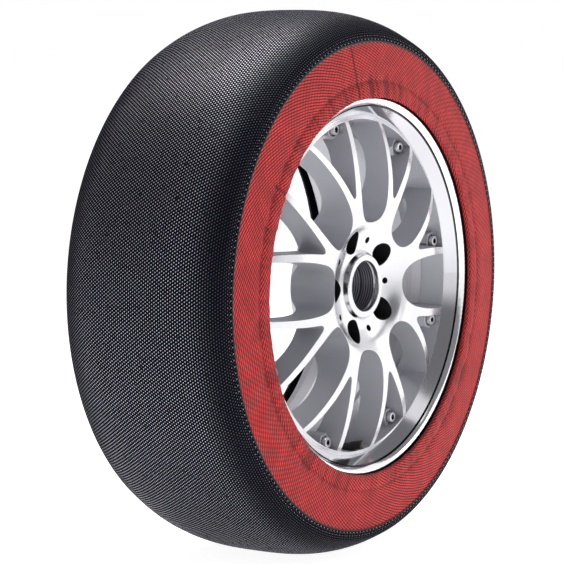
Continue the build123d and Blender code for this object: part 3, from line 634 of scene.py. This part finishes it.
def stitches(name, radius, y, count, length, thick, material, tilt=0.0):
    """A ring of short thread stitches, each a small capsule turned by tilt from the seam's line."""
    lat, lon = 5, 6
    points, faces = [], []
    for k in range(count):
        a = 2 * math.pi * k / count
        tangent = Vector((-math.sin(a), 0, math.cos(a)))
        out = Vector((math.cos(a), 0, math.sin(a)))
        side = Vector((0, 1, 0))
        run = tangent * math.cos(tilt) + out * math.sin(tilt)
        up = run.cross(side)
        centre = out * radius + side * y
        start = len(points)
        for i in range(lat):
            t = math.pi * i / (lat - 1)
            for j in range(lon):
                b = 2 * math.pi * j / lon
                ring = max(math.sin(t), 0.05)
                points.append(centre + run * (-math.cos(t) * length / 2)
                              + (up * math.cos(b) + side * math.sin(b)) * (ring * thick / 2))
        for i in range(lat - 1):
            for j in range(lon):
                a0, a1 = start + i * lon + j, start + i * lon + (j + 1) % lon
                faces.append((a0, a1, a1 + lon, a0 + lon))
        faces.append(tuple(start + j for j in reversed(range(lon))))
        faces.append(tuple(start + (lat - 1) * lon + j for j in range(lon)))
    mesh = bpy.data.meshes.new(name)
    mesh.from_pydata([tuple(p) for p in points], [], faces)
    mesh.polygons.foreach_set("use_smooth", np.ones(len(mesh.polygons), bool))
    mesh.materials.append(material)
    on_sock(bpy.data.objects.new(name, mesh))


tread_band()
side_panel("red_side_panel", -1, RED, "outer_side_panel", around=1440, across=PANEL_ACROSS,
           seed=21, cell=3.5 * MM, gather=2.2 * MM, closing=0.5 * MM)
side_panel("black_inner_panel", 1, GRIP, "inner_side_panel", around=720, across=60,
           seed=51, cell=4.0 * MM, gather=1.0 * MM, closing=0.0)
closing_thread(8)
for sign, place in ((-1, "outer"), (1, "inner")):
    seam_edge(f"{place}_seam_edge", sign * (SEAM_Y + 0.2 * MM), f"{place}_seam")
    stitches(f"{place}_seam_stitches", SEAM_R + 2.6 * MM, sign * (SEAM_Y - 0.1 * MM), SEAM_STITCHES,
             1.9 * MM, 1.0 * MM, WHITE_THREAD, 0.5)
    stitches(f"{place}_second_stitches", SEAM_R + 6.6 * MM, sign * (SEAM_Y - 1.3 * MM), SEAM_STITCHES,
             1.3 * MM, 0.7 * MM, WHITE_THREAD, 0.5)
stitches("hem_stitches", HEM_LINE_R, -SEAM_Y - 3.1 * MM, 430, 2.4 * MM, 0.6 * MM, HEM_THREAD)


# ---------------------------------------------------------------- studio

# name, place, size and power of each area light; all of them face the wheel's centre
LIGHTS = [
    ("overhead_soft", (0.35, 0.6, 2.3), (1.8, 1.3), 60.0),
    ("right_front_soft", (2.8, -1.75, 1.0), (3.0, 2.6), 20.0),
    ("front_soft", (1.2, -2.1, 1.0), (1.5, 1.5), 9.0),
    ("top_front_soft", (-0.1, -1.0, 2.2), (1.4, 1.0), 4.0),
    ("left_fill", (-2.6, 0.4, 0.9), (1.2, 1.8), 10.0),
]
FLOOR_REACH = 30.0
FLOOR_GLOW = 0.90
SKY_LOW, SKY_HIGH = 0.06, 0.22    # heights of the view direction where the backdrop fades to grey


def aim(made, place, direction):
    """Link an object at a place, with its -Z along a direction."""
    scene.collection.objects.link(made)
    made.location = place
    made.rotation_mode = "QUATERNION"
    made.rotation_quaternion = direction.to_track_quat("-Z", "Y")


def area_light(name, place, size, power):
    data = bpy.data.lights.new(name, "AREA")
    data.shape = "RECTANGLE"
    data.size, data.size_y = size
    data.energy = power
    aim(bpy.data.objects.new(name, data), Vector(place), -Vector(place))


def pale_floor():
    """Plain pale floor under the tread, that glows a little so that it meets the backdrop."""
    floor_mesh = bpy.data.meshes.new("floor")
    corners = [(-1, -1), (1, -1), (1, 1), (-1, 1)]
    points = [(a * FLOOR_REACH, b * FLOOR_REACH, FLOOR_Z) for a, b in corners]
    floor_mesh.from_pydata(points, [], [(0, 1, 2, 3)])
    pale = Shader("pale_floor", (0.6, 0.6, 0.61), roughness=0.9, Emission_Strength=FLOOR_GLOW)
    pale.set("Emission Color", (1.0, 1.0, 1.0, 1.0))
    pale.set("Specular IOR Level", 0.0)
    vector = pale.object_xyz()[0]
    pale.feed(pale.mix(pale.noise(vector, 2.0), (0.59, 0.59, 0.60), (0.61, 0.61, 0.62)), "Base Color")
    floor_mesh.materials.append(pale.material)
    floor = bpy.data.objects.new("floor", floor_mesh)
    scene.collection.objects.link(floor)


def backdrop():
    """White at the horizon, grey above, so that the bright metal has something dark to reflect."""
    world = bpy.data.worlds.new("studio")
    world.use_nodes = True
    nodes = world.node_tree.nodes
    links = world.node_tree.links
    coords = nodes.new("ShaderNodeTexCoord")
    split = nodes.new("ShaderNodeSeparateXYZ")
    ramp = nodes.new("ShaderNodeValToRGB")
    links.new(coords.outputs["Generated"], split.inputs[0])
    links.new(split.outputs[2], ramp.inputs[0])
    links.new(ramp.outputs[0], nodes["Background"].inputs[0])
    low, high = ramp.color_ramp.elements
    low.position, low.color = SKY_LOW, (1.0, 1.0, 1.0, 1.0)
    high.position, high.color = SKY_HIGH, (0.22, 0.22, 0.23, 1.0)
    scene.world = world
    scene.view_settings.view_transform = "Standard"


CAMERA_AZIMUTH = math.radians(-56.02)
CAMERA_ELEVATION = math.radians(5.41)
CAMERA_LENS = 160.1
CAMERA_DISTANCE = 2.941
CAMERA_TARGET = Vector((0, -0.0197, 0))
CAMERA_RIGHT = -0.0301
CAMERA_UP = 0.00045


def camera():
    level = math.cos(CAMERA_ELEVATION)
    back = Vector((math.sin(CAMERA_AZIMUTH) * level, -math.cos(CAMERA_AZIMUTH) * level,
                   math.sin(CAMERA_ELEVATION)))
    right = Vector((math.cos(CAMERA_AZIMUTH), math.sin(CAMERA_AZIMUTH), 0.0))
    up = back.cross(right)
    data = bpy.data.cameras.new("camera")
    data.sensor_width = 36.0
    data.lens = CAMERA_LENS
    made = bpy.data.objects.new("camera", data)
    place = CAMERA_TARGET + back * CAMERA_DISTANCE + right * CAMERA_RIGHT + up * CAMERA_UP
    aim(made, place, -back)
    scene.camera = made


camera()
pale_floor()
backdrop()
for light in LIGHTS:
    area_light(*light)
